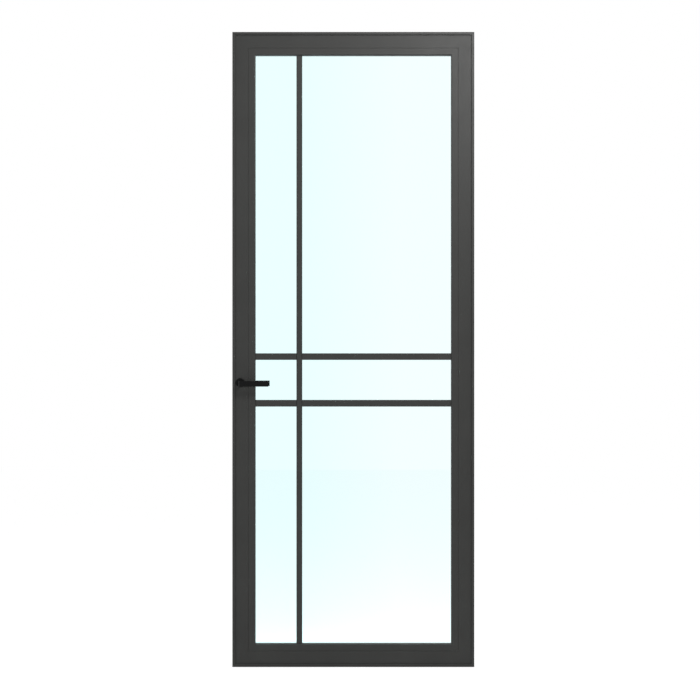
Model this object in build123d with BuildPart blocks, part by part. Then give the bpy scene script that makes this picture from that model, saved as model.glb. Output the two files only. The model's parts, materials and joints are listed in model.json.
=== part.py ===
from build123d import *
import os
from math import radians, sin

# Framed glass door: a slim outer frame, a hinged leaf with one glazed pane,
# applied glazing bars on both faces, and a sprung latch worked by two levers.
# Millimetres. X runs across the door, Y from front to back, Z up.
# The origin is at the middle of the foot, in the middle of the leaf's thickness.

# Driving dimensions of the whole door
overall_width = 882.0
overall_height = 2315.0

# Outer frame, an angle section with its flange at the front
frame_web = 5.0
flange_width = 10.0
flange_thickness = 3.5
frame_edge_radius = 2.5
flange_lip_radius = 0.8
seal_space = 3.0
seal_width = 2.6
seal_clearance = 0.3
leaf_gap = 2.0
cleat_leg = 60.0
cleat_width = 24.0
cleat_thickness = 2.0
cleat_clearance = 0.1
cleat_screw_pitch = 24.0
fixing_hole_radius = 3.1
fixing_head_radius = 6.0
fixing_pitch = 540.0
fixing_count = 4
fixing_pattern_height = 1160.0

# Leaf profile
leaf_thickness = 40.0
stile_width = 51.0
edge_wall = 4.5
face_wall = 2.5
leaf_edge_radius = 1.0
joint_chamfer = 0.4
joint_gap = 0.2
inner_cleat_leg = 110.0
inner_cleat_wall = 4.0
inner_cleat_clearance = 0.2

# Glazing
bead_width = 25.7
nose_radius = 3.0
lip_radius = 2.0
bead_wall = 2.0
glass_thickness = 8.0
glass_cover = 12.0
gasket_thickness = 2.0
gasket_setback = 1.0
block_length = 100.0

# Glazing bars
upright_bar_width = 20.8
cross_bar_width = 24.1
bar_thickness = 9.5
bar_bevel = 1.8
bar_tape = 1.0
tape_setback = 2.0
side_pane_clear = 149.7
upper_bar_height = 1131.6
bar_band_clear = 146.4

# Hinges
hinge_height = 100.0
hinge_plate = 2.0
hinge_plate_depth = 28.0
knuckle_radius = 5.5
knuckle_count = 5
knuckle_gap = 0.25
pin_radius = 3.0
pin_clearance = 0.05
pin_head_radius = 4.5
pin_head_height = 2.5
hinge_clearance = 0.5
hinge_recess_clearance = 0.1
hinge_screw_pitch = 30.0
hinge_screw_near = 9.0
hinge_screw_far = 19.0
lower_hinge_height = 220.0
upper_hinge_drop = 220.0

# Screws that hold the fittings
screw_radius = 2.1
screw_head_radius = 4.0
screw_clearance = 0.1
screw_socket_radius = 1.4
screw_socket_depth = 1.2
screw_tip_clearance = 0.2

# Lever handles
spindle_height = 1037.0
spindle_inset = 28.5
spindle_width = 8.0
socket_clearance = 0.05
spindle_hole_radius = 7.0
rose_radius = 16.0
rose_height = 8.0
rose_wall = 1.4
rose_front_wall = 1.5
rose_edge_radius = 1.2
rose_base_height = 4.0
rose_base_clearance = 0.1
collar_radius = 8.5
collar_clearance = 0.2
collar_height = 3.0
lever_reach = 50.0
lever_length = 104.3
lever_height = 20.5
lever_drop = 4.0
lever_thickness = 10.0
lever_corner_radius = 2.2
lever_bend_radius = 13.0
lever_end_chamfer = 0.8
spindle_end_cover = 26.0
spindle_end_clearance = 1.0
rose_bolt_offset = 11.7
rose_bolt_radius = 1.5
rose_bolt_head_radius = 2.4
rose_bolt_head_height = 1.5
rose_bolt_clearance = 0.3
grub_radius = 2.5
grub_distance = 15.0

# Latch
lever_turn = 40.0
follower_radius = 9.0
follower_half_thickness = 5.5
follower_arm_radius = 14.0
follower_tip_radius = 3.0
follower_play = 0.5
journal_radius = 7.0
bolt_reach = 6.8
bolt_thickness = 11.0
bolt_height = 16.0
bolt_rise = 24.0
bolt_body_length = 20.8
bolt_bevel_length = 7.5
bolt_tip_flat = 2.5
bolt_clearance = 0.25
tail_thickness = 8.0
tail_rise = 17.7
tail_top = 30.0
tail_end_inset = 32.0
spring_boss_radius = 2.5
spring_boss_length = 2.5
spring_radius = 3.7
spring_wire_radius = 0.4
spring_turns = 5
case_depth = 43.0
case_wall = 1.2
case_inner_thickness = 12.6
case_below_spindle = 22.0
case_above_spindle = 42.0
faceplate_thickness = 2.0
faceplate_width = 20.0
faceplate_length = 124.0
faceplate_rise = 10.0
faceplate_screw_pitch = 108.0
faceplate_clearance = 0.1
strike_thickness = 1.5
strike_front_reach = 11.0
strike_length = 94.0
strike_screw_pitch = 72.0
strike_hole_clearance = 1.0
strike_clearance = 0.1
strike_lip_radius = 9.0

# Worked out from the driving dimensions
face = leaf_thickness / 2
leaf_inset = frame_web + leaf_gap
frame_front = -(face + seal_space + flange_thickness)
frame_depth = face - frame_front
joint_inset = leaf_inset + stile_width
opening_inset = joint_inset + bead_width
pane_inset = opening_inset - glass_cover
glass_face = glass_thickness / 2
gasket_face = glass_face + gasket_thickness
web_half = overall_width / 2 - frame_web
leaf_half = overall_width / 2 - leaf_inset
opening_half = overall_width / 2 - opening_inset
opening_top = overall_height - opening_inset
mid_height = overall_height / 2

upright_bar_x = -opening_half + side_pane_clear + upright_bar_width / 2
lower_bar_height = upper_bar_height - bar_band_clear - cross_bar_width
bar_base = glass_face + bar_tape

hinge_axis_x = leaf_half + leaf_gap / 2
hinge_axis_y = face + knuckle_radius + hinge_clearance
plate_end_y = face - hinge_clearance / 2
hinge_heights = {
    "lower": lower_hinge_height,
    "middle": mid_height,
    "upper": overall_height - upper_hinge_drop,
}

spindle_x = -overall_width / 2 + spindle_inset
lock_edge = -leaf_half
latch_height = spindle_height + bolt_rise
bolt_tip_x = lock_edge - bolt_reach
tail_end_x = lock_edge + tail_end_inset
case_inner_half = case_inner_thickness / 2
case_outer_half = case_inner_half + case_wall
case_front_x = lock_edge + faceplate_thickness
case_back_x = case_front_x + case_depth
faceplate_height = spindle_height + faceplate_rise
lever_rise = face + lever_reach
lever_tip_x = spindle_x + lever_length
neck_below_axis = lever_drop + lever_height / 2
latch_travel = follower_arm_radius * sin(radians(lever_turn))

MIN_CORNER = (Align.MIN, Align.MIN)
HEAD_DOWN = (Align.CENTER, Align.CENTER, Align.MAX)

# Each side of the door: the way in from its outer edge, and the way along it
INWARDS = {"bottom": (0, 0, 1), "top": (0, 0, -1), "lock": (1, 0, 0), "hinge": (-1, 0, 0)}
ALONG = {"bottom": (-1, 0, 0), "top": (1, 0, 0), "lock": (0, 0, 1), "hinge": (0, 0, -1)}


def edge_middle(side, inset):
    """Middle of one side of a rectangle that lies inset from the door's outline."""
    half_width = overall_width / 2 - inset
    places = {
        "bottom": (0, 0, inset),
        "top": (0, 0, overall_height - inset),
        "lock": (-half_width, 0, mid_height),
        "hinge": (half_width, 0, mid_height),
    }
    return places[side]


def half_run(side, inset):
    """Half the length of that side."""
    full = overall_width if side in ("bottom", "top") else overall_height
    return full / 2 - inset


def front_plane(depth, x=0.0, z=mid_height):
    """Plane seen from the front at the given depth, with X right and Z up."""
    return Plane(origin=(x, depth, z), x_dir=(1, 0, 0), z_dir=(0, -1, 0))


def save(piece, name):
    """Label one finished piece and write its file."""
    piece.part.label = name
    export_step(piece.part, f"parts/{name}.step")


def mitred_member(side, inset, width, profile):
    """Run a profile along one side and cut both ends at 45 degrees."""
    middle = edge_middle(side, inset)
    reach = half_run(side, inset)
    corners = [(-reach, 0), (reach, 0), (reach - width, width), (width - reach, width)]
    with BuildPart() as member:
        with BuildSketch(Plane(origin=middle, x_dir=INWARDS[side], z_dir=ALONG[side])):
            add(profile)
        extrude(amount=reach, both=True)
        with BuildSketch(Plane(origin=middle, x_dir=ALONG[side], z_dir=(0, 1, 0))):
            Polygon(*corners, align=None)
        extrude(amount=frame_depth, both=True, mode=Mode.INTERSECT)
    return member.part


def ring(outer_inset, inner_inset, front, back):
    """Flat rectangular ring that follows the door's outline."""
    with BuildPart() as loop:
        with BuildSketch(front_plane(back)):
            Rectangle(overall_width - 2 * outer_inset, overall_height - 2 * outer_inset)
            Rectangle(
                overall_width - 2 * inner_inset,
                overall_height - 2 * inner_inset,
                mode=Mode.SUBTRACT,
            )
        extrude(amount=back - front)
    return loop


def countersunk_screws(planes, length):
    """Screws with a cone head flush with each plane, pointing into the material."""
    head_height = screw_head_radius - screw_radius
    with BuildPart() as screws:
        with Locations(*planes):
            Cylinder(screw_radius, length, align=HEAD_DOWN)
            Cone(screw_radius, screw_head_radius, head_height, align=HEAD_DOWN)
        with BuildSketch(*planes):
            RegularPolygon(screw_socket_radius, 6)
        extrude(amount=-screw_socket_depth, mode=Mode.SUBTRACT)
    return screws


def cut_countersinks(planes, depth, hole=screw_radius, head=screw_head_radius):
    """Cut a countersunk hole at each plane into the part being built."""
    with Locations(*planes):
        CounterSinkHole(hole + screw_clearance, head + screw_clearance, depth, 90)


def angle_profile():
    """Frame section: a web as deep as the frame, with a narrow flange at the front."""
    with BuildSketch() as section:
        with Locations((0, frame_front)):
            Rectangle(frame_web, frame_depth, align=MIN_CORNER)
            Rectangle(flange_width, flange_thickness, align=MIN_CORNER)
        outer = section.vertices().sort_by_distance((0, frame_front))[0]
        fillet(outer, frame_edge_radius)
        lip = section.vertices().sort_by_distance((flange_width, frame_front))[0]
        fillet(lip, flange_lip_radius)
    return section.sketch


def leaf_profile():
    """Leaf section: a box with a thick outer wall and a hollow glazing lip at the back."""
    lip_depth = face - gasket_face
    inner_edge = stile_width + bead_width
    with BuildSketch() as section:
        with Locations((0, -face)):
            Rectangle(stile_width, leaf_thickness, align=MIN_CORNER)
        with Locations((0, gasket_face)):
            Rectangle(inner_edge, lip_depth, align=MIN_CORNER)
        lip_corners = section.vertices().group_by(Axis.X)[-1]
        fillet(lip_corners.sort_by(Axis.Y)[-1], lip_radius)
        outer_corners = section.vertices().group_by(Axis.X)[0]
        fillet(outer_corners, leaf_edge_radius)
        joint = section.vertices().sort_by_distance((stile_width, -face))[0]
        chamfer(joint, joint_chamfer)
        with Locations((edge_wall, -face + face_wall)):
            Rectangle(
                stile_width - edge_wall - face_wall,
                leaf_thickness - 2 * face_wall,
                align=MIN_CORNER,
                mode=Mode.SUBTRACT,
            )
        with Locations((stile_width, gasket_face + bead_wall)):
            Rectangle(
                bead_width - bead_wall,
                lip_depth - bead_wall - face_wall,
                align=MIN_CORNER,
                mode=Mode.SUBTRACT,
            )
    return section.sketch


def bead_profile():
    """Hollow glazing bead with a rounded nose towards the glass."""
    depth = face - gasket_face
    width = bead_width - joint_gap
    with BuildSketch() as section:
        with Locations((0, -face)):
            Rectangle(width, depth, align=MIN_CORNER)
        fillet(section.vertices().sort_by_distance((width, -face))[0], nose_radius)
        chamfer(section.vertices().sort_by_distance((0, -face))[0], joint_chamfer)
        with Locations((bead_wall, -face + face_wall)):
            Rectangle(
                width - 2 * bead_wall,
                depth - bead_wall - face_wall,
                align=MIN_CORNER,
                mode=Mode.SUBTRACT,
            )
        inside = section.vertices().sort_by_distance((width - bead_wall, -face + face_wall))[0]
        fillet(inside, nose_radius - face_wall)
    return section.sketch


def bar_section(width, side):
    """Bevelled bar section on one face of the glass; side is -1 in front and 1 behind."""
    half = width / 2
    base = side * bar_base
    shoulder = side * (bar_base + bar_thickness - bar_bevel)
    crown = side * (bar_base + bar_thickness)
    with BuildSketch() as section:
        Polygon(
            (-half, base),
            (half, base),
            (half, shoulder),
            (half - bar_bevel, crown),
            (bar_bevel - half, crown),
            (-half, shoulder),
            align=None,
        )
    return section.sketch


def jamb_screw_planes(x, inwards, z_list, y=0.0):
    """Planes for screws driven sideways, on a face whose outward normal is inwards."""
    return [Plane(origin=(x, y, z), x_dir=(0, 0, 1), z_dir=(inwards, 0, 0)) for z in z_list]


def cleat_screw_planes():
    """Outer-face places of the screws in all four corner cleats."""
    near = cleat_leg / 2 - cleat_screw_pitch / 2 + frame_web
    steps = [near, near + cleat_screw_pitch]
    planes = []
    for sign in (-1, 1):
        for step in steps:
            for z in (step, overall_height - step):
                planes += jamb_screw_planes(sign * overall_width / 2, sign, [z])
            x = sign * (overall_width / 2 - step)
            planes.append(Plane(origin=(x, 0, 0), x_dir=(1, 0, 0), z_dir=(0, 0, -1)))
            planes.append(Plane(origin=(x, 0, overall_height), x_dir=(1, 0, 0), z_dir=(0, 0, 1)))
    return planes


def cut_cleat_pockets():
    """Recess the frame's outer faces for the corner cleats, and drill for their screws."""
    leg = cleat_leg + cleat_clearance
    width = cleat_width + 2 * cleat_clearance
    with Locations((0, 0, 0), (0, 0, overall_height)):
        with GridLocations(overall_width - leg, 1, 2, 1):
            Box(leg, width, 2 * cleat_thickness, mode=Mode.SUBTRACT)
        with GridLocations(overall_width, 1, 2, 1):
            Box(2 * cleat_thickness, width, 2 * leg, mode=Mode.SUBTRACT)
    cut_countersinks(cleat_screw_planes(), frame_web)


def hinge_screw_planes(x, normal, z):
    """Two rows of hinge screws, staggered as on a common butt hinge."""
    y_near = plate_end_y - hinge_screw_near
    y_far = plate_end_y - hinge_screw_far
    outer = [z - hinge_screw_pitch, z + hinge_screw_pitch]
    return jamb_screw_planes(x, normal, outer, y_near) + jamb_screw_planes(x, normal, [z], y_far)


def hinge_recess(x_low, z):
    """Cut the recess of one hinge plate, open towards the back."""
    clearance = hinge_recess_clearance
    start = plate_end_y - hinge_plate_depth - clearance
    with Locations((x_low, start, z)):
        Box(
            hinge_plate,
            leaf_thickness,
            hinge_height + 2 * clearance,
            align=(Align.MIN, Align.MIN, Align.CENTER),
            mode=Mode.SUBTRACT,
        )


def knuckle_spans(z, first):
    """Lowest height and length of every second knuckle, starting from the given one."""
    length = (hinge_height - (knuckle_count - 1) * knuckle_gap) / knuckle_count
    low = z - hinge_height / 2
    return [(low + i * (length + knuckle_gap), length) for i in range(first, knuckle_count, 2)]


def hinge_leaf(x_low, z, first):
    """Flat plate joined to every second knuckle round the hinge pin."""
    normal = -1 if first == 0 else 1
    face_x = x_low if first == 0 else x_low + hinge_plate
    neck = hinge_axis_y - plate_end_y
    with BuildPart() as leaf:
        with Locations((x_low, plate_end_y, z)):
            Box(
                hinge_plate,
                hinge_plate_depth,
                hinge_height,
                align=(Align.MIN, Align.MAX, Align.CENTER),
            )
        cut_countersinks(hinge_screw_planes(face_x, normal, z), hinge_plate)
        for low, length in knuckle_spans(z, first):
            with Locations((x_low, plate_end_y, low)):
                Box(hinge_plate, neck, length, align=(Align.MIN, Align.MIN, Align.MIN))
            with Locations((hinge_axis_x, hinge_axis_y, low)):
                Cylinder(knuckle_radius, length, align=(Align.CENTER, Align.CENTER, Align.MIN))
        with Locations((hinge_axis_x, hinge_axis_y, z)):
            Cylinder(pin_radius + pin_clearance, 2 * hinge_height, mode=Mode.SUBTRACT)
    return leaf


def hinge_pin(z):
    """Pin with a domed button head at each end of the knuckles."""
    head_spacing = hinge_height + pin_head_height
    with BuildPart() as pin:
        with Locations((hinge_axis_x, hinge_axis_y, z)):
            Cylinder(pin_radius, hinge_height)
            with Locations((0, 0, head_spacing / 2), (0, 0, -head_spacing / 2)):
                Cylinder(pin_head_radius, pin_head_height)
        tips = pin.edges().group_by(Axis.Z)
        fillet(tips[0] + tips[-1], pin_head_height / 2)
    return pin


def frame_jamb(side):
    """One upright of the frame with its cleat pockets and wall fixing holes."""
    sign = -1 if side == "lock" else 1
    first = fixing_pattern_height - fixing_pitch * (fixing_count - 1) / 2
    heights = [first + i * fixing_pitch for i in range(fixing_count)]
    planes = jamb_screw_planes(sign * web_half, -sign, heights)
    hole = fixing_hole_radius - screw_clearance
    with BuildPart() as jamb:
        add(mitred_member(side, 0, flange_width, angle_profile()))
        cut_cleat_pockets()
        cut_countersinks(planes, frame_web, hole, fixing_head_radius)
    return jamb


def make_frame():
    """The four members of the outer frame, with the cleats and the seal."""
    with BuildPart() as lock_jamb:
        add(frame_jamb("lock").part)
        with Locations((-web_half, -strike_front_reach, latch_height)):
            Box(
                2 * strike_thickness,
                frame_depth,
                strike_length + 2 * strike_clearance,
                align=(Align.CENTER, Align.MIN, Align.CENTER),
                mode=Mode.SUBTRACT,
            )
        with Locations((-web_half, 0, latch_height)):
            Box(3 * frame_web, *strike_hole(), mode=Mode.SUBTRACT)
        cut_countersinks(strike_screw_planes(), frame_web)
    save(lock_jamb, "frame_lock_jamb")

    with BuildPart() as hinge_jamb:
        add(frame_jamb("hinge").part)
        for z in hinge_heights.values():
            hinge_recess(web_half, z)
            planes = hinge_screw_planes(web_half, -1, z)
            with Locations(*planes):
                Hole(screw_radius + screw_clearance, 2 * frame_web)
    save(hinge_jamb, "frame_hinge_jamb")

    for side, name in (("top", "frame_head"), ("bottom", "frame_sill")):
        with BuildPart() as rail:
            add(mitred_member(side, 0, flange_width, angle_profile()))
            cut_cleat_pockets()
        save(rail, name)

    with BuildPart() as cleats:
        with BuildSketch(front_plane(cleat_width / 2)):
            Rectangle(overall_width, overall_height)
            inner_width = overall_width - 2 * cleat_thickness
            inner_height = overall_height - 2 * cleat_thickness
            Rectangle(inner_width, inner_height, mode=Mode.SUBTRACT)
            Rectangle(overall_width - 2 * cleat_leg, 2 * overall_height, mode=Mode.SUBTRACT)
            Rectangle(2 * overall_width, overall_height - 2 * cleat_leg, mode=Mode.SUBTRACT)
        extrude(amount=cleat_width)
        cut_countersinks(cleat_screw_planes(), frame_web)
    save(cleats, "frame_corner_cleats")
    save(countersunk_screws(cleat_screw_planes(), frame_web - screw_tip_clearance), "frame_cleat_screws")

    seal_front = -(face + seal_space)
    seal_back = -(face + seal_clearance)
    seal = ring(flange_width - seal_width, flange_width, seal_front, seal_back)
    save(seal, "frame_seal")


def strike_hole():
    """Depth and height of the hole that takes the latch bolt."""
    return bolt_thickness + 2 * strike_hole_clearance, bolt_height + 2 * strike_hole_clearance


def strike_screw_planes():
    """Places of the strike plate's screws."""
    half = strike_screw_pitch / 2
    return jamb_screw_planes(-web_half, 1, [latch_height - half, latch_height + half])


def make_strike():
    """Strike plate let into the lock jamb, with a lip that leads the bolt in."""
    with BuildPart() as strike:
        with Locations((-web_half, -strike_front_reach + strike_clearance, latch_height)):
            Box(
                strike_thickness,
                face + strike_front_reach - strike_clearance,
                strike_length,
                align=(Align.MAX, Align.MIN, Align.CENTER),
            )
        lip_edges = strike.edges().filter_by(Axis.X).group_by(Axis.Y)[-1]
        fillet(lip_edges, strike_lip_radius)
        with Locations((-web_half, 0, latch_height)):
            Box(3 * frame_web, *strike_hole(), mode=Mode.SUBTRACT)
        cut_countersinks(strike_screw_planes(), strike_thickness)
    save(strike, "strike_plate")
    save(countersunk_screws(strike_screw_planes(), frame_web - screw_tip_clearance), "strike_screws")


def outer_edge_cutouts():
    """Recess for the latch faceplate, and the slot behind it for the latch case."""
    clearance = faceplate_clearance
    with Locations((lock_edge, 0, faceplate_height)):
        Box(
            2 * faceplate_thickness,
            faceplate_width + 2 * clearance,
            faceplate_length + 2 * clearance,
            mode=Mode.SUBTRACT,
        )
    with Locations((lock_edge, 0, spindle_height - case_below_spindle - clearance)):
        Box(
            2 * edge_wall + 2 * clearance,
            2 * (case_outer_half + clearance),
            case_below_spindle + case_above_spindle + 2 * clearance,
            align=(Align.CENTER, Align.CENTER, Align.MIN),
            mode=Mode.SUBTRACT,
        )


def handle_plane(side, distance):
    """Plane across the spindle, facing out of the door; side is -1 in front and 1 behind."""
    origin = (spindle_x, side * distance, spindle_height)
    return Plane(origin=origin, x_dir=(1, 0, 0), z_dir=(0, side, 0))


def cut_rose_bolt_holes(reach):
    """Drill for the two bolts that clamp the rose bases through the door."""
    with BuildSketch(handle_plane(1, reach)) as holes:
        with Locations((rose_bolt_offset, 0), (-rose_bolt_offset, 0)):
            Circle(rose_bolt_radius + rose_bolt_clearance)
    extrude(holes.sketch, amount=-2 * reach, mode=Mode.SUBTRACT)


def faceplate_screw_planes():
    """Places of the faceplate's two screws on the lock edge."""
    half = faceplate_screw_pitch / 2
    return jamb_screw_planes(lock_edge, -1, [faceplate_height - half, faceplate_height + half])


def make_leaf_members():
    """Stiles and rails of the leaf, joined by cleats inside their chambers."""
    width = stile_width + bead_width
    profile = leaf_profile()
    with BuildPart() as lock_stile:
        add(mitred_member("lock", leaf_inset, width, profile))
        outer_edge_cutouts()
        cut_countersinks(faceplate_screw_planes(), edge_wall)
        with BuildSketch(handle_plane(1, face)):
            Circle(spindle_hole_radius)
        extrude(amount=-leaf_thickness, mode=Mode.SUBTRACT)
        cut_rose_bolt_holes(face)
    save(lock_stile, "leaf_lock_stile")

    with BuildPart() as hinge_stile:
        add(mitred_member("hinge", leaf_inset, width, profile))
        for z in hinge_heights.values():
            hinge_recess(leaf_half - hinge_plate, z)
            with Locations(*hinge_screw_planes(leaf_half, 1, z)):
                Hole(screw_radius + screw_clearance, edge_wall)
    save(hinge_stile, "leaf_hinge_stile")

    for side, name in (("top", "leaf_top_rail"), ("bottom", "leaf_bottom_rail")):
        with BuildPart() as rail:
            add(mitred_member(side, leaf_inset, width, profile))
        save(rail, name)

    outer = leaf_inset + edge_wall + inner_cleat_clearance
    inner = joint_inset - face_wall - inner_cleat_clearance
    half_depth = face - face_wall - inner_cleat_clearance
    with BuildPart() as cleats:
        with BuildSketch(front_plane(half_depth)):
            cleat_outline(outer, inner)
            cleat_outline(outer + inner_cleat_wall, inner - inner_cleat_wall, Mode.SUBTRACT)
        extrude(amount=2 * half_depth)
    save(cleats, "leaf_corner_cleats")


def cleat_outline(outer, inner, mode=Mode.ADD):
    """Four angle shapes that fill the corners between two insets."""
    leg = inner_cleat_leg if mode == Mode.ADD else inner_cleat_leg - 2 * inner_cleat_wall
    with BuildSketch(mode=Mode.PRIVATE) as angles:
        Rectangle(overall_width - 2 * outer, overall_height - 2 * outer)
        Rectangle(overall_width - 2 * inner, overall_height - 2 * inner, mode=Mode.SUBTRACT)
        Rectangle(overall_width - 2 * (outer + leg), 2 * overall_height, mode=Mode.SUBTRACT)
        Rectangle(2 * overall_width, overall_height - 2 * (outer + leg), mode=Mode.SUBTRACT)
    add(angles.sketch, mode=mode)


def make_glazing():
    """Pane, gaskets, setting blocks and the four beads."""
    with BuildPart() as pane:
        with BuildSketch(front_plane(glass_face)):
            Rectangle(overall_width - 2 * pane_inset, overall_height - 2 * pane_inset)
        extrude(amount=glass_thickness)
    save(pane, "glass_pane")

    gasket_outer = pane_inset + gasket_setback
    gasket_inner = opening_inset - gasket_setback
    save(ring(gasket_outer, gasket_inner, -gasket_face, -glass_face), "glazing_gasket_front")
    save(ring(gasket_outer, gasket_inner, glass_face, gasket_face), "glazing_gasket_back")

    depth = pane_inset - joint_inset
    across = overall_width - joint_inset - pane_inset
    upright = overall_height - joint_inset - pane_inset
    with BuildPart() as blocks:
        with Locations((0, 0, mid_height)):
            with GridLocations(across / 2, 1, 2, 1):
                with Locations((0, 0, upright / 2), (0, 0, -upright / 2)):
                    Box(block_length, glass_thickness, depth)
            with Locations((-across / 2, 0, 0), (across / 2, 0, 0)):
                with Locations((0, 0, upright / 4), (0, 0, -upright / 4)):
                    Box(depth, glass_thickness, block_length)
    save(blocks, "setting_blocks")

    profile = bead_profile()
    for side in ("lock", "hinge", "top", "bottom"):
        with BuildPart() as bead:
            inset = joint_inset + joint_gap
            add(mitred_member(side, inset, bead_width - joint_gap, profile))
        save(bead, f"glazing_bead_{side}")


def make_bars():
    """Upright and cross bars on both faces of the glass, with the tape under them."""
    bar_edge_left = upright_bar_x - upright_bar_width / 2
    bar_edge_right = upright_bar_x + upright_bar_width / 2
    stretches = {"left": (-opening_half, bar_edge_left), "right": (bar_edge_right, opening_half)}
    levels = {"lower": lower_bar_height, "upper": upper_bar_height}
    for side, face_name in ((-1, "front"), (1, "back")):
        with BuildPart() as upright_bar:
            with BuildSketch(Plane(origin=(upright_bar_x, 0, opening_inset))):
                add(bar_section(upright_bar_width, side))
            extrude(amount=opening_top - opening_inset)
        save(upright_bar, f"upright_bar_{face_name}")

        for level, z in levels.items():
            for stretch, (start, end) in stretches.items():
                with BuildPart() as cross_bar:
                    across = Plane(origin=(start, 0, z), x_dir=(0, 0, -1), z_dir=(1, 0, 0))
                    with BuildSketch(across):
                        add(bar_section(cross_bar_width, side))
                    extrude(amount=end - start)
                save(cross_bar, f"cross_bar_{level}_{stretch}_{face_name}")

        with BuildPart() as tape:
            with BuildSketch(front_plane(-glass_face if side < 0 else bar_base)):
                with Locations((upright_bar_x, 0)):
                    Rectangle(upright_bar_width - 2 * tape_setback, opening_top - opening_inset)
                for z in levels.values():
                    for start, end in stretches.values():
                        with Locations(((start + end) / 2, z - mid_height)):
                            Rectangle(end - start, cross_bar_width - 2 * tape_setback)
            extrude(amount=bar_tape)
        save(tape, f"bar_tape_{face_name}")


def make_hinges():
    """Three butt hinges with five knuckles each, and all their screws."""
    frame_planes = []
    door_planes = []
    for name, z in hinge_heights.items():
        save(hinge_leaf(web_half, z, 0), f"hinge_{name}_frame_leaf")
        save(hinge_leaf(leaf_half - hinge_plate, z, 1), f"hinge_{name}_door_leaf")
        save(hinge_pin(z), f"hinge_{name}_pin")
        frame_planes += hinge_screw_planes(web_half, -1, z)
        door_planes += hinge_screw_planes(leaf_half, 1, z)
    save(countersunk_screws(frame_planes, frame_web - screw_tip_clearance), "hinge_frame_screws")
    save(countersunk_screws(door_planes, edge_wall - screw_tip_clearance), "hinge_door_screws")


def make_latch_case():
    """Steel case behind its faceplate, open towards the lock edge for the bolt."""
    height = case_below_spindle + case_above_spindle
    with BuildPart() as case:
        with Locations((case_front_x, 0, spindle_height - case_below_spindle)):
            Box(
                case_depth,
                2 * case_outer_half,
                height,
                align=(Align.MIN, Align.CENTER, Align.MIN),
            )
        inner_floor = spindle_height - case_below_spindle + case_wall
        with Locations((case_front_x - case_wall, 0, inner_floor)):
            Box(
                case_depth,
                case_inner_thickness,
                height - 2 * case_wall,
                align=(Align.MIN, Align.CENTER, Align.MIN),
                mode=Mode.SUBTRACT,
            )
        with BuildSketch(handle_plane(1, case_outer_half)):
            Circle(journal_radius + socket_clearance)
        extrude(amount=-2 * case_outer_half, mode=Mode.SUBTRACT)
        cut_rose_bolt_holes(case_outer_half)
    save(case, "latch_case")

    with BuildPart() as faceplate:
        with Locations((lock_edge, 0, faceplate_height)):
            Box(
                faceplate_thickness,
                faceplate_width,
                faceplate_length,
                align=(Align.MIN, Align.CENTER, Align.CENTER),
            )
        corner_edges = faceplate.edges().filter_by(Axis.X)
        fillet(corner_edges, leaf_edge_radius)
        with Locations((lock_edge, 0, latch_height)):
            Box(
                3 * faceplate_thickness,
                bolt_thickness + 2 * bolt_clearance,
                bolt_height + 2 * bolt_clearance,
                mode=Mode.SUBTRACT,
            )
        cut_countersinks(faceplate_screw_planes(), faceplate_thickness)
    save(faceplate, "latch_faceplate")
    screws = countersunk_screws(faceplate_screw_planes(), edge_wall - screw_tip_clearance)
    save(screws, "faceplate_screws")


def make_follower():
    """Hub turned by the spindle, with an arm that draws the bolt back."""
    with BuildPart() as follower:
        with BuildSketch(handle_plane(-1, follower_half_thickness)):
            Circle(follower_radius)
            Rectangle(2 * follower_tip_radius, follower_arm_radius, align=(Align.CENTER, Align.MIN))
            with Locations((0, follower_arm_radius)):
                Circle(follower_tip_radius)
        extrude(amount=-2 * follower_half_thickness)
        with BuildSketch(handle_plane(-1, case_outer_half)):
            Circle(journal_radius)
        extrude(amount=-2 * case_outer_half)
        with BuildSketch(handle_plane(-1, case_outer_half)):
            socket = spindle_width + 2 * socket_clearance
            Rectangle(socket, socket)
        extrude(amount=-2 * case_outer_half, mode=Mode.SUBTRACT)
    save(follower, "latch_follower")


def make_latch_bolt():
    """Bevelled bolt with a tail over the follower and a lug behind the follower's arm."""
    half = bolt_thickness / 2
    body_end = lock_edge - bolt_reach + bolt_body_length
    lug_x = spindle_x + follower_tip_radius + follower_play
    lug_low = follower_radius + follower_play
    with BuildPart() as bolt:
        with BuildSketch(Plane.XY.offset(latch_height - bolt_height / 2)):
            Polygon(
                (bolt_tip_x, half),
                (bolt_tip_x, half - bolt_tip_flat),
                (bolt_tip_x + bolt_bevel_length, -half),
                (body_end, -half),
                (body_end, half),
                align=None,
            )
        extrude(amount=bolt_height)
        with BuildSketch(front_plane(tail_thickness / 2, 0, spindle_height)):
            Polygon(
                (body_end, tail_rise),
                (lug_x, tail_rise),
                (lug_x, lug_low),
                (lug_x + bolt_thickness / 2, lug_low),
                (tail_end_x, tail_rise),
                (tail_end_x, tail_top),
                (body_end, tail_top),
                align=None,
            )
        extrude(amount=tail_thickness)
        with BuildSketch(Plane(origin=(tail_end_x, 0, latch_height), z_dir=(1, 0, 0))):
            Circle(spring_boss_radius)
        extrude(amount=spring_boss_length)
    save(bolt, "latch_bolt")

    spring_length = case_back_x - case_wall - tail_end_x
    coil_length = spring_length - 2 * spring_wire_radius
    coil_start = (tail_end_x + spring_wire_radius, 0, latch_height)
    pitch = coil_length / spring_turns
    with BuildPart() as spring:
        with BuildLine() as coil:
            Helix(pitch, coil_length, spring_radius, coil_start, (1, 0, 0))
        with BuildSketch(Plane(origin=coil.line @ 0, z_dir=coil.line % 0)):
            Circle(spring_wire_radius)
        sweep(is_frenet=True)
    save(spring, "latch_spring")


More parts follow.
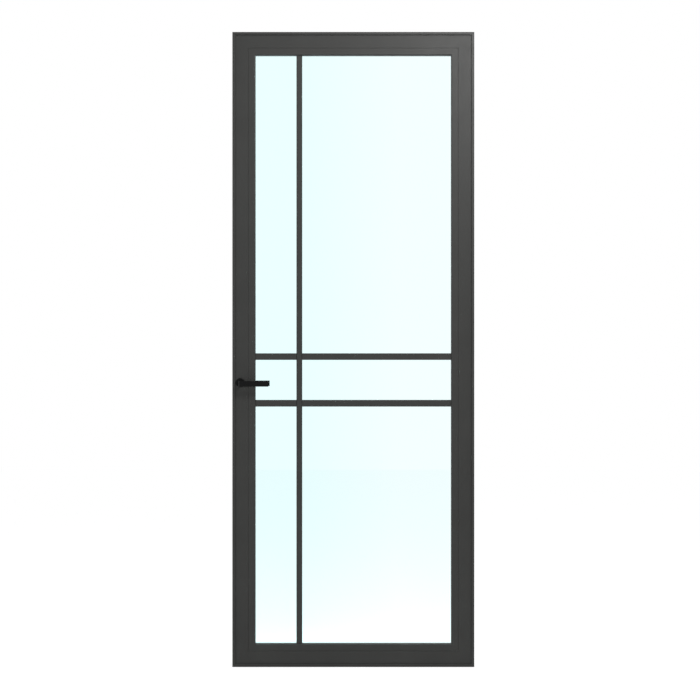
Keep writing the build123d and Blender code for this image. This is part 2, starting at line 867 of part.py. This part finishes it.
def make_rose(side, face_name):
    """Rose base against the leaf and the cover that clips over it."""
    base_radius = rose_radius - rose_wall - rose_base_clearance
    with BuildPart() as base:
        with BuildSketch(handle_plane(side, face)):
            Circle(base_radius)
            Circle(collar_radius + collar_clearance, mode=Mode.SUBTRACT)
            with Locations((rose_bolt_offset, 0), (-rose_bolt_offset, 0)):
                Circle(rose_bolt_radius + rose_base_clearance, mode=Mode.SUBTRACT)
        extrude(amount=rose_base_height)
        with BuildSketch(handle_plane(side, face + rose_base_height)):
            with Locations((rose_bolt_offset, 0), (-rose_bolt_offset, 0)):
                Circle(rose_bolt_head_radius + rose_base_clearance)
        extrude(amount=-rose_bolt_head_height, mode=Mode.SUBTRACT)
    save(base, f"rose_base_{face_name}")

    with BuildPart() as cover:
        with BuildSketch(handle_plane(side, face)):
            Circle(rose_radius)
        extrude(amount=rose_height)
        rim = cover.edges().filter_by(GeomType.CIRCLE).group_by(Axis.Y)[-1 if side > 0 else 0]
        fillet(rim, rose_edge_radius)
        with BuildSketch(handle_plane(side, face)):
            Circle(rose_radius - rose_wall)
        extrude(amount=rose_height - rose_front_wall, mode=Mode.SUBTRACT)
        with BuildSketch(handle_plane(side, face)):
            Circle(collar_radius + collar_clearance)
        extrude(amount=rose_height, mode=Mode.SUBTRACT)
    save(cover, f"rose_cover_{face_name}")


def make_lever(side, face_name):
    """Bent flat lever, set a little below its axis, with a round collar that turns in its rose."""
    collar_start = face + rose_base_height / 2
    neck_start = face + rose_height + collar_clearance
    socket = spindle_width + 2 * socket_clearance
    socket_end = lever_rise - spindle_end_cover + spindle_end_clearance
    with BuildPart() as lever:
        with BuildLine(Plane.XY.offset(spindle_height - lever_drop)) as route:
            FilletPolyline(
                (spindle_x, side * neck_start),
                (spindle_x, side * lever_rise),
                (lever_tip_x, side * lever_rise),
                radius=lever_bend_radius,
            )
        start = Plane(origin=route.line @ 0, x_dir=(0, 0, 1), z_dir=route.line % 0)
        with BuildSketch(start):
            RectangleRounded(lever_height, lever_thickness, lever_corner_radius)
        sweep()
        chamfer(lever.faces().sort_by(Axis.X)[-1].edges(), lever_end_chamfer)
        with BuildSketch(handle_plane(side, collar_start)):
            Circle(collar_radius)
        extrude(amount=neck_start + collar_height - collar_start)
        with BuildSketch(handle_plane(side, collar_start)):
            Rectangle(socket, socket)
        extrude(amount=socket_end - collar_start, mode=Mode.SUBTRACT)
        with Locations(grub_plane(side)):
            Hole(grub_radius + screw_clearance, neck_below_axis)
    save(lever, f"lever_{face_name}")


def grub_plane(side):
    """Underside of the lever's neck, where its grub screw enters."""
    place = (spindle_x, side * (face + rose_height + grub_distance), spindle_height - neck_below_axis)
    return Plane(origin=place, x_dir=(1, 0, 0), z_dir=(0, 0, -1))


def make_handle():
    """Both levers with their roses, the spindle, the through bolts and the grub screws."""
    for side, face_name in ((-1, "front"), (1, "back")):
        make_rose(side, face_name)
        make_lever(side, face_name)

    half_length = lever_rise - spindle_end_cover
    with BuildPart() as spindle:
        with BuildSketch(handle_plane(1, half_length)):
            Rectangle(spindle_width, spindle_width)
        extrude(amount=-2 * half_length)
    save(spindle, "spindle")

    bolt_end = face + rose_base_height
    with BuildPart() as bolts:
        with BuildSketch(handle_plane(1, bolt_end)):
            with Locations((rose_bolt_offset, 0), (-rose_bolt_offset, 0)):
                Circle(rose_bolt_radius)
        extrude(amount=-2 * bolt_end)
        for side in (-1, 1):
            with BuildSketch(handle_plane(side, bolt_end)):
                with Locations((rose_bolt_offset, 0), (-rose_bolt_offset, 0)):
                    Circle(rose_bolt_head_radius)
            extrude(amount=-rose_bolt_head_height)
    save(bolts, "rose_bolts")

    grub_length = neck_below_axis - spindle_width / 2 - screw_clearance
    with BuildPart() as grubs:
        with Locations(grub_plane(-1), grub_plane(1)):
            Cylinder(grub_radius, grub_length, align=HEAD_DOWN)
        with BuildSketch(grub_plane(-1), grub_plane(1)):
            RegularPolygon(screw_socket_radius, 6)
        extrude(amount=-screw_socket_depth, mode=Mode.SUBTRACT)
    save(grubs, "lever_grub_screws")


os.makedirs("parts", exist_ok=True)
make_frame()
make_strike()
make_leaf_members()
make_glazing()
make_bars()
make_hinges()
make_latch_case()
make_follower()
make_latch_bolt()
make_handle()
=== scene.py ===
import json

import bmesh
import bpy
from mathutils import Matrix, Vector


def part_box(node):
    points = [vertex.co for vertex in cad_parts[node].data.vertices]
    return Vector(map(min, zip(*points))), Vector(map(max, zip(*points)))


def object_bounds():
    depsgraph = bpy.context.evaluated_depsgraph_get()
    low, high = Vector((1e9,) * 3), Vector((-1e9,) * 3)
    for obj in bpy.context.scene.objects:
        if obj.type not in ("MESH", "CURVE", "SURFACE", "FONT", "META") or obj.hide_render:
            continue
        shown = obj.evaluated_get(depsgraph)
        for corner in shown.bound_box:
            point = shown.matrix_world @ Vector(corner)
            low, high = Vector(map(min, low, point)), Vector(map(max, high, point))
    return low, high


# Looks of the framed glass door: finishes for every piece, studio light, floor and camera.
# Metres. X runs across the door, Y from front to back, Z up.

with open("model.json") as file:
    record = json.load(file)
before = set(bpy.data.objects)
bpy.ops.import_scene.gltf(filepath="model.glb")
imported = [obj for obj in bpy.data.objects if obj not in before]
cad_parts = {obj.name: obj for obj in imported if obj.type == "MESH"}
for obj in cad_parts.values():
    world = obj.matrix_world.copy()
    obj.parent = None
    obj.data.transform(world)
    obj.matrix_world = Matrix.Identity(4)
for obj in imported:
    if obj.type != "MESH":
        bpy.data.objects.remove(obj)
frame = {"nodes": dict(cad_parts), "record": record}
cad_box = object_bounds()
low_corner, high_corner = (Vector(corner) for corner in cad_box)
door_width = high_corner.x - low_corner.x
door_height = high_corner.z - low_corner.z
door_middle = (low_corner + high_corner) / 2
frame_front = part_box("frame_lock_jamb")[0].y

# Where the outline of the door stands in the photograph, in pixels
PICTURE_SIZE = 700
OUTLINE_LEFT = 232.31
OUTLINE_RIGHT = 474.33
OUTLINE_TOP = 32.05
OUTLINE_BOTTOM = 666.95

# Camera: metres from the front of the frame, and width of the sensor in millimetres
CAMERA_DISTANCE = 8.5
SENSOR_WIDTH = 36.0

# Colours, linear
COAT_DARK = (0.0198, 0.0201, 0.0188)
COAT_LIGHT = (0.0238, 0.0242, 0.0227)
FITTING_DARK = (0.0048, 0.0048, 0.005)
FITTING_LIGHT = (0.0062, 0.0062, 0.0065)
HINGE_DARK = (0.012, 0.012, 0.012)
HINGE_LIGHT = (0.016, 0.016, 0.016)
RUBBER_DARK = (0.008, 0.008, 0.0085)
RUBBER_LIGHT = (0.014, 0.014, 0.0145)
TAPE_DARK = (0.015, 0.015, 0.015)
TAPE_LIGHT = (0.022, 0.022, 0.022)
BLOCK_DARK = (0.028, 0.028, 0.032)
BLOCK_LIGHT = (0.036, 0.036, 0.04)
STEEL_DARK = (0.52, 0.52, 0.51)
STEEL_LIGHT = (0.66, 0.66, 0.65)
CLEAT_DARK = (0.2, 0.205, 0.21)
CLEAT_LIGHT = (0.28, 0.285, 0.29)
# Glass at its left and right: the paler right is painted light across the pane
GLASS_LEFT_SHADED = (0.8, 0.99, 0.995)
GLASS_RIGHT_LIT = (0.868, 0.99, 0.995)

FLOOR_COLOUR = (0.85, 0.85, 0.85, 1.0)
WHITE = (1.0, 1.0, 1.0, 1.0)

# Marks in the finishes: size across, or depth, in metres
CLOUD_SIZE = 0.12
SHEEN_SIZE = 0.035
PEEL_SIZE = 0.0035
PEEL_DEPTH = 0.00003
GRAIN_SIZE = 0.0006
STREAK_WIDTH = 0.0004
STREAK_DEPTH = 0.000012
FLOW_SIZE = 0.02
BLOOM_SIZE = 0.004
PIT_SIZE = 0.0005
WAVE_SIZE = 0.3
WAVE_DEPTH = 0.00008

# How many times longer than wide the streaks in bare metal are
STREAK_STRETCH = 60.0

# Glass: refractive index, and metres either side of the middle over which its colour turns paler to the
# right, as painted light
GLASS_IOR = 1.5
TINT_LIGHT_REACH = 0.16

# Strength of the world's light from straight below and from straight above
WORLD_LOW = 0.45
WORLD_HIGH = 0.75

# Brightness of the backdrop where it is seen through the glass. Elsewhere it is 1.
BACKDROP_IN_GLASS = 1.045

# Floor: half its side in metres, brightness of its glow, and share of its matt surface in what is seen
FLOOR_HALF = 14.0
FLOOR_GLOW = 0.82
MATT_SHARE = 0.3

# Factor on the floor's glow where it is seen through the glass: POOL_LOW, plus POOL_RISE divided by the
# metres from the middle of the door. Within POOL_NEAR metres it stays level.
POOL_LOW = 0.985
POOL_RISE = 0.25
POOL_NEAR = 0.9

# Lamps: place and side of the square in metres, power in watts
KEY_PLACE = (1.03, -2.38, 2.89)
KEY_SIDE = 0.8
KEY_POWER = 57.0
FILL_PLACE = (-2.6, -3.4, 1.0)
FILL_SIDE = 2.4
FILL_POWER = 15.5
BACK_PLACE = (-1.6, 2.6, 4.3)
BACK_SIDE = 1.6
BACK_POWER = 26.0

# Share of the door's height at which the key lamp points
KEY_AIM = 0.85


class Finish:
    """A material with one Principled shader and helpers that add nodes to it."""

    def __init__(self, name):
        self.material = bpy.data.materials.new(name)
        self.material.use_nodes = True
        self.nodes = self.material.node_tree.nodes
        self.links = self.material.node_tree.links
        self.shader = self.nodes["Principled BSDF"]
        self.output = self.nodes["Material Output"]
        self.place = self.nodes.new("ShaderNodeTexCoord").outputs["Object"]

    def noise(self, size, detail=2.0, stretch=(1.0, 1.0, 1.0)):
        """Noise whose features measure size metres, longer along an axis by its stretch."""
        mapping = self.nodes.new("ShaderNodeMapping")
        mapping.inputs["Scale"].default_value = [1 / (size * s) for s in stretch]
        self.links.new(self.place, mapping.inputs["Vector"])
        texture = self.nodes.new("ShaderNodeTexNoise")
        texture.inputs["Scale"].default_value = 1.0
        texture.inputs["Detail"].default_value = detail
        self.links.new(mapping.outputs["Vector"], texture.inputs["Vector"])
        return texture.outputs["Fac"]

    def span(self, value, low, high, start=0.3, end=0.7):
        """Map the stretch from start to end, where most noise lies, to low and high."""
        ranged = self.nodes.new("ShaderNodeMapRange")
        ranged.inputs["From Min"].default_value = start
        ranged.inputs["From Max"].default_value = end
        ranged.inputs["To Min"].default_value = low
        ranged.inputs["To Max"].default_value = high
        self.links.new(value, ranged.inputs["Value"])
        return ranged.outputs["Result"]

    def blend(self, value, first, second):
        """Colour between two colours, by a value from 0 to 1."""
        mix = self.nodes.new("ShaderNodeMix")
        mix.data_type = "RGBA"
        mix.inputs["A"].default_value = (*first, 1.0)
        mix.inputs["B"].default_value = (*second, 1.0)
        self.links.new(value, mix.inputs["Factor"])
        return mix.outputs["Result"]

    def bump(self, height, distance, before=None):
        """Surface normal roughened by a height, over an earlier normal if there is one."""
        bump = self.nodes.new("ShaderNodeBump")
        bump.inputs["Strength"].default_value = 1.0
        bump.inputs["Distance"].default_value = distance
        self.links.new(height, bump.inputs["Height"])
        if before is not None:
            self.links.new(before, bump.inputs["Normal"])
        return bump.outputs["Normal"]

    def drive(self, socket, value):
        """Link a value to one socket of the shader."""
        self.links.new(value, self.shader.inputs[socket])


def powder_coat(name, dark, light, smooth, rough, grain, shine):
    """Sprayed and baked coat: a fine grain over a slow orange peel, a little uneven in tone."""
    finish = Finish(name)
    tone = finish.span(finish.noise(CLOUD_SIZE, detail=3.0), 0.0, 1.0)
    finish.drive("Base Color", finish.blend(tone, dark, light))
    finish.drive("Roughness", finish.span(finish.noise(SHEEN_SIZE), smooth, rough))
    peel = finish.bump(finish.noise(PEEL_SIZE, detail=1.0), PEEL_DEPTH)
    finish.drive("Normal", finish.bump(finish.noise(GRAIN_SIZE), grain, peel))
    finish.shader.inputs["Specular IOR Level"].default_value = shine
    return finish.material


def brushed_metal(name, dark, light, along, smooth, rough):
    """Bare metal drawn along one axis, with fine streaks that catch the light."""
    streak = [STREAK_STRETCH if axis == along else 1.0 for axis in "XYZ"]
    finish = Finish(name)
    lines = finish.noise(STREAK_WIDTH, detail=3.0, stretch=streak)
    finish.drive("Base Color", finish.blend(finish.span(lines, 0.0, 1.0), dark, light))
    finish.drive("Roughness", finish.span(lines, smooth, rough))
    finish.drive("Normal", finish.bump(lines, STREAK_DEPTH))
    finish.shader.inputs["Metallic"].default_value = 1.0
    return finish.material


def moulded(name, dark, light, smooth, rough, grain):
    """Soft or rigid plastic and rubber: faint flow marks and a dull, finely pitted skin."""
    finish = Finish(name)
    flow = finish.span(finish.noise(FLOW_SIZE), 0.0, 1.0)
    finish.drive("Base Color", finish.blend(flow, dark, light))
    finish.drive("Roughness", finish.span(finish.noise(BLOOM_SIZE), smooth, rough))
    finish.drive("Normal", finish.bump(finish.noise(PIT_SIZE), grain))
    return finish.material


def float_glass(name, left, right):
    """Clear glass that lets lamp light through, its colour a little paler from left to right as painted
    light.
    """
    finish = Finish(name)
    shader = finish.shader
    parts = finish.nodes.new("ShaderNodeSeparateXYZ")
    finish.links.new(finish.place, parts.inputs["Vector"])
    # Painted light: the glass colour turns paler from left to right across its middle
    across = finish.span(parts.outputs["X"], 0.0, 1.0, start=-TINT_LIGHT_REACH, end=TINT_LIGHT_REACH)
    tint_and_light = finish.blend(across, left, right)
    finish.drive("Base Color", tint_and_light)
    shader.inputs["Roughness"].default_value = 0.0
    shader.inputs["IOR"].default_value = GLASS_IOR
    shader.inputs["Transmission Weight"].default_value = 1.0
    finish.drive("Normal", finish.bump(finish.noise(WAVE_SIZE, detail=1.0), WAVE_DEPTH))
    through = finish.nodes.new("ShaderNodeBsdfTransparent")
    finish.links.new(tint_and_light, through.inputs["Color"])
    path = finish.nodes.new("ShaderNodeLightPath")
    mix = finish.nodes.new("ShaderNodeMixShader")
    finish.links.new(path.outputs["Is Shadow Ray"], mix.inputs["Fac"])
    finish.links.new(shader.outputs["BSDF"], mix.inputs[1])
    finish.links.new(through.outputs["BSDF"], mix.inputs[2])
    finish.links.new(mix.outputs["Shader"], finish.output.inputs["Surface"])
    return finish.material


def make_finishes():
    """One material for each material slot of the record."""
    finishes = {}
    for slot in ("frame_coat", "leaf_coat", "bead_coat", "bar_coat"):
        finishes[slot] = powder_coat(
            slot, COAT_DARK, COAT_LIGHT, smooth=0.4, rough=0.46, grain=0.00002, shine=0.3
        )
    finishes["fitting_black"] = powder_coat(
        "fitting_black", FITTING_DARK, FITTING_LIGHT, smooth=0.36, rough=0.44, grain=0.000012, shine=0.06
    )
    finishes["hinge_black"] = powder_coat(
        "hinge_black", HINGE_DARK, HINGE_LIGHT, smooth=0.4, rough=0.5, grain=0.000015, shine=0.3
    )
    finishes["screw_black"] = powder_coat(
        "screw_black", HINGE_DARK, HINGE_LIGHT, smooth=0.34, rough=0.44, grain=0.00001, shine=0.3
    )
    finishes["bright_steel"] = brushed_metal(
        "bright_steel", STEEL_DARK, STEEL_LIGHT, along="Z", smooth=0.26, rough=0.4
    )
    finishes["cleat_metal"] = brushed_metal(
        "cleat_metal", CLEAT_DARK, CLEAT_LIGHT, along="X", smooth=0.34, rough=0.5
    )
    finishes["seal_rubber"] = moulded(
        "seal_rubber", RUBBER_DARK, RUBBER_LIGHT, smooth=0.62, rough=0.8, grain=0.00003
    )
    finishes["bar_tape"] = moulded(
        "bar_tape", TAPE_DARK, TAPE_LIGHT, smooth=0.6, rough=0.75, grain=0.00003
    )
    finishes["setting_block"] = moulded(
        "setting_block", BLOCK_DARK, BLOCK_LIGHT, smooth=0.45, rough=0.6, grain=0.00002
    )
    finishes["glass"] = float_glass("glass", GLASS_LEFT_SHADED, GLASS_RIGHT_LIT)
    return finishes


def dress_nodes():
    """Give every CAD node the finish of its slot."""
    finishes = make_finishes()
    for part in frame["record"]["subparts"]:
        node = frame["nodes"][part["node"]]
        for slot in node.material_slots:
            slot.material = finishes[part["material_slot"]]


def make_floor():
    """Pale floor under the door that shows white."""
    mesh = bpy.data.meshes.new("floor")
    square = bmesh.new()
    bmesh.ops.create_grid(square, x_segments=1, y_segments=1, size=FLOOR_HALF)
    square.to_mesh(mesh)
    square.free()
    floor = bpy.data.objects.new("floor", mesh)
    bpy.context.scene.collection.objects.link(floor)
    mesh.materials.append(floor_finish())


def floor_finish():
    """Matt floor for rays that carry light, mostly covered by a white glow where it is seen."""
    material = bpy.data.materials.new("floor")
    material.use_nodes = True
    nodes, links = material.node_tree.nodes, material.node_tree.links
    nodes.remove(nodes["Principled BSDF"])
    matt = nodes.new("ShaderNodeBsdfDiffuse")
    matt.inputs["Color"].default_value = FLOOR_COLOUR
    glow = nodes.new("ShaderNodeEmission")
    glow.inputs["Color"].default_value = WHITE
    level = through_glass(nodes, links)
    links.new(pool_of_light(nodes, links), level.inputs["B"])
    glow_level = FLOOR_GLOW / (1 - MATT_SHARE)
    strength = math_node(nodes, links, "MULTIPLY", level.outputs["Result"], glow_level)
    links.new(strength, glow.inputs["Strength"])
    seen = seen_directly(nodes, links)
    mix = nodes.new("ShaderNodeMixShader")
    links.new(math_node(nodes, links, "MULTIPLY", seen, 1 - MATT_SHARE), mix.inputs["Fac"])
    links.new(matt.outputs["BSDF"], mix.inputs[1])
    links.new(glow.outputs["Emission"], mix.inputs[2])
    links.new(mix.outputs["Shader"], nodes["Material Output"].inputs["Surface"])
    return material


def pool_of_light(nodes, links):
    """Factor on the floor's glow, highest near the door, that falls off with the distance."""
    place = nodes.new("ShaderNodeTexCoord")
    reach = nodes.new("ShaderNodeVectorMath")
    reach.operation = "LENGTH"
    links.new(place.outputs["Object"], reach.inputs[0])
    away = math_node(nodes, links, "MAXIMUM", reach.outputs["Value"], POOL_NEAR)
    rise = math_node(nodes, links, "POWER", away, -1.0)
    scaled = math_node(nodes, links, "MULTIPLY", rise, POOL_RISE)
    return math_node(nodes, links, "ADD", scaled, POOL_LOW)


def math_node(nodes, links, operation, value, number):
    """Result of one operation on a linked value and a number."""
    node = nodes.new("ShaderNodeMath")
    node.operation = operation
    node.inputs[1].default_value = number
    links.new(value, node.inputs[0])
    return node.outputs["Value"]


def through_glass(nodes, links):
    """Mix of a level of 1 and a second level B, which only rays that passed the glass meet."""
    level = nodes.new("ShaderNodeMix")
    level.inputs["A"].default_value = 1.0
    path = nodes.new("ShaderNodeLightPath")
    links.new(path.outputs["Is Transmission Ray"], level.inputs["Factor"])
    return level


def seen_directly(nodes, links):
    """1 for rays from the camera, a shiny surface or glass, and 0 for rays that carry light."""
    path = nodes.new("ShaderNodeLightPath")
    seen = path.outputs["Is Camera Ray"]
    for kind in ("Is Transmission Ray", "Is Glossy Ray"):
        either = nodes.new("ShaderNodeMath")
        either.operation = "MAXIMUM"
        links.new(seen, either.inputs[0])
        links.new(path.outputs[kind], either.inputs[1])
        seen = either.outputs["Value"]
    return seen


def make_world():
    """White studio: white behind the door, and softer light from above than from below."""
    world = bpy.data.worlds.new("studio")
    bpy.context.scene.world = world
    world.use_nodes = True
    nodes, links = world.node_tree.nodes, world.node_tree.links
    light = nodes["Background"]
    light.inputs["Color"].default_value = WHITE
    direction = nodes.new("ShaderNodeTexCoord")
    parts = nodes.new("ShaderNodeSeparateXYZ")
    level = nodes.new("ShaderNodeMapRange")
    level.inputs["From Min"].default_value = -1.0
    level.inputs["To Min"].default_value = WORLD_LOW
    level.inputs["To Max"].default_value = WORLD_HIGH
    links.new(direction.outputs["Generated"], parts.inputs["Vector"])
    links.new(parts.outputs["Z"], level.inputs["Value"])
    links.new(level.outputs["Result"], light.inputs["Strength"])
    backdrop = nodes.new("ShaderNodeBackground")
    backdrop.inputs["Color"].default_value = WHITE
    behind = through_glass(nodes, links)
    behind.inputs["B"].default_value = BACKDROP_IN_GLASS
    links.new(behind.outputs["Result"], backdrop.inputs["Strength"])
    mix = nodes.new("ShaderNodeMixShader")
    links.new(seen_directly(nodes, links), mix.inputs["Fac"])
    links.new(light.outputs["Background"], mix.inputs[1])
    links.new(backdrop.outputs["Background"], mix.inputs[2])
    links.new(mix.outputs["Shader"], nodes["World Output"].inputs["Surface"])


def make_lamp(name, place, target, side, power):
    """Square soft lamp that points at a target."""
    lamp = bpy.data.lights.new(name, "AREA")
    lamp.size = side
    lamp.energy = power
    holder = bpy.data.objects.new(name, lamp)
    holder.location = place
    holder.rotation_euler = (Vector(target) - Vector(place)).to_track_quat("-Z", "Y").to_euler()
    bpy.context.scene.collection.objects.link(holder)


def make_light():
    """Key from the upper right, a weak fill from the left and a lamp behind the door."""
    upper_right = (door_width / 2, 0.0, door_height * KEY_AIM)
    middle = (0.0, 0.0, door_height / 2)
    make_lamp("key", KEY_PLACE, upper_right, KEY_SIDE, KEY_POWER)
    make_lamp("fill", FILL_PLACE, middle, FILL_SIDE, FILL_POWER)
    make_lamp("back", BACK_PLACE, middle, BACK_SIDE, BACK_POWER)


def make_camera():
    """Camera square to the door, placed so that the outline falls where the photograph has it."""
    scale = door_width / (OUTLINE_RIGHT - OUTLINE_LEFT)
    right = ((OUTLINE_LEFT + OUTLINE_RIGHT) / 2 - PICTURE_SIZE / 2) * scale
    down = ((OUTLINE_TOP + OUTLINE_BOTTOM) / 2 - PICTURE_SIZE / 2) * scale
    camera = bpy.data.cameras.new("camera")
    camera.sensor_width = SENSOR_WIDTH
    camera.lens = SENSOR_WIDTH * CAMERA_DISTANCE / (PICTURE_SIZE * scale)
    holder = bpy.data.objects.new("camera", camera)
    holder.location = (door_middle.x - right, frame_front - CAMERA_DISTANCE, door_middle.z + down)
    holder.rotation_euler = Vector((0, 1, 0)).to_track_quat("-Z", "Z").to_euler()
    bpy.context.scene.collection.objects.link(holder)
    bpy.context.scene.camera = holder


dress_nodes()
make_floor()
make_world()
make_light()
make_camera()
bpy.context.scene.view_settings.view_transform = "Standard"
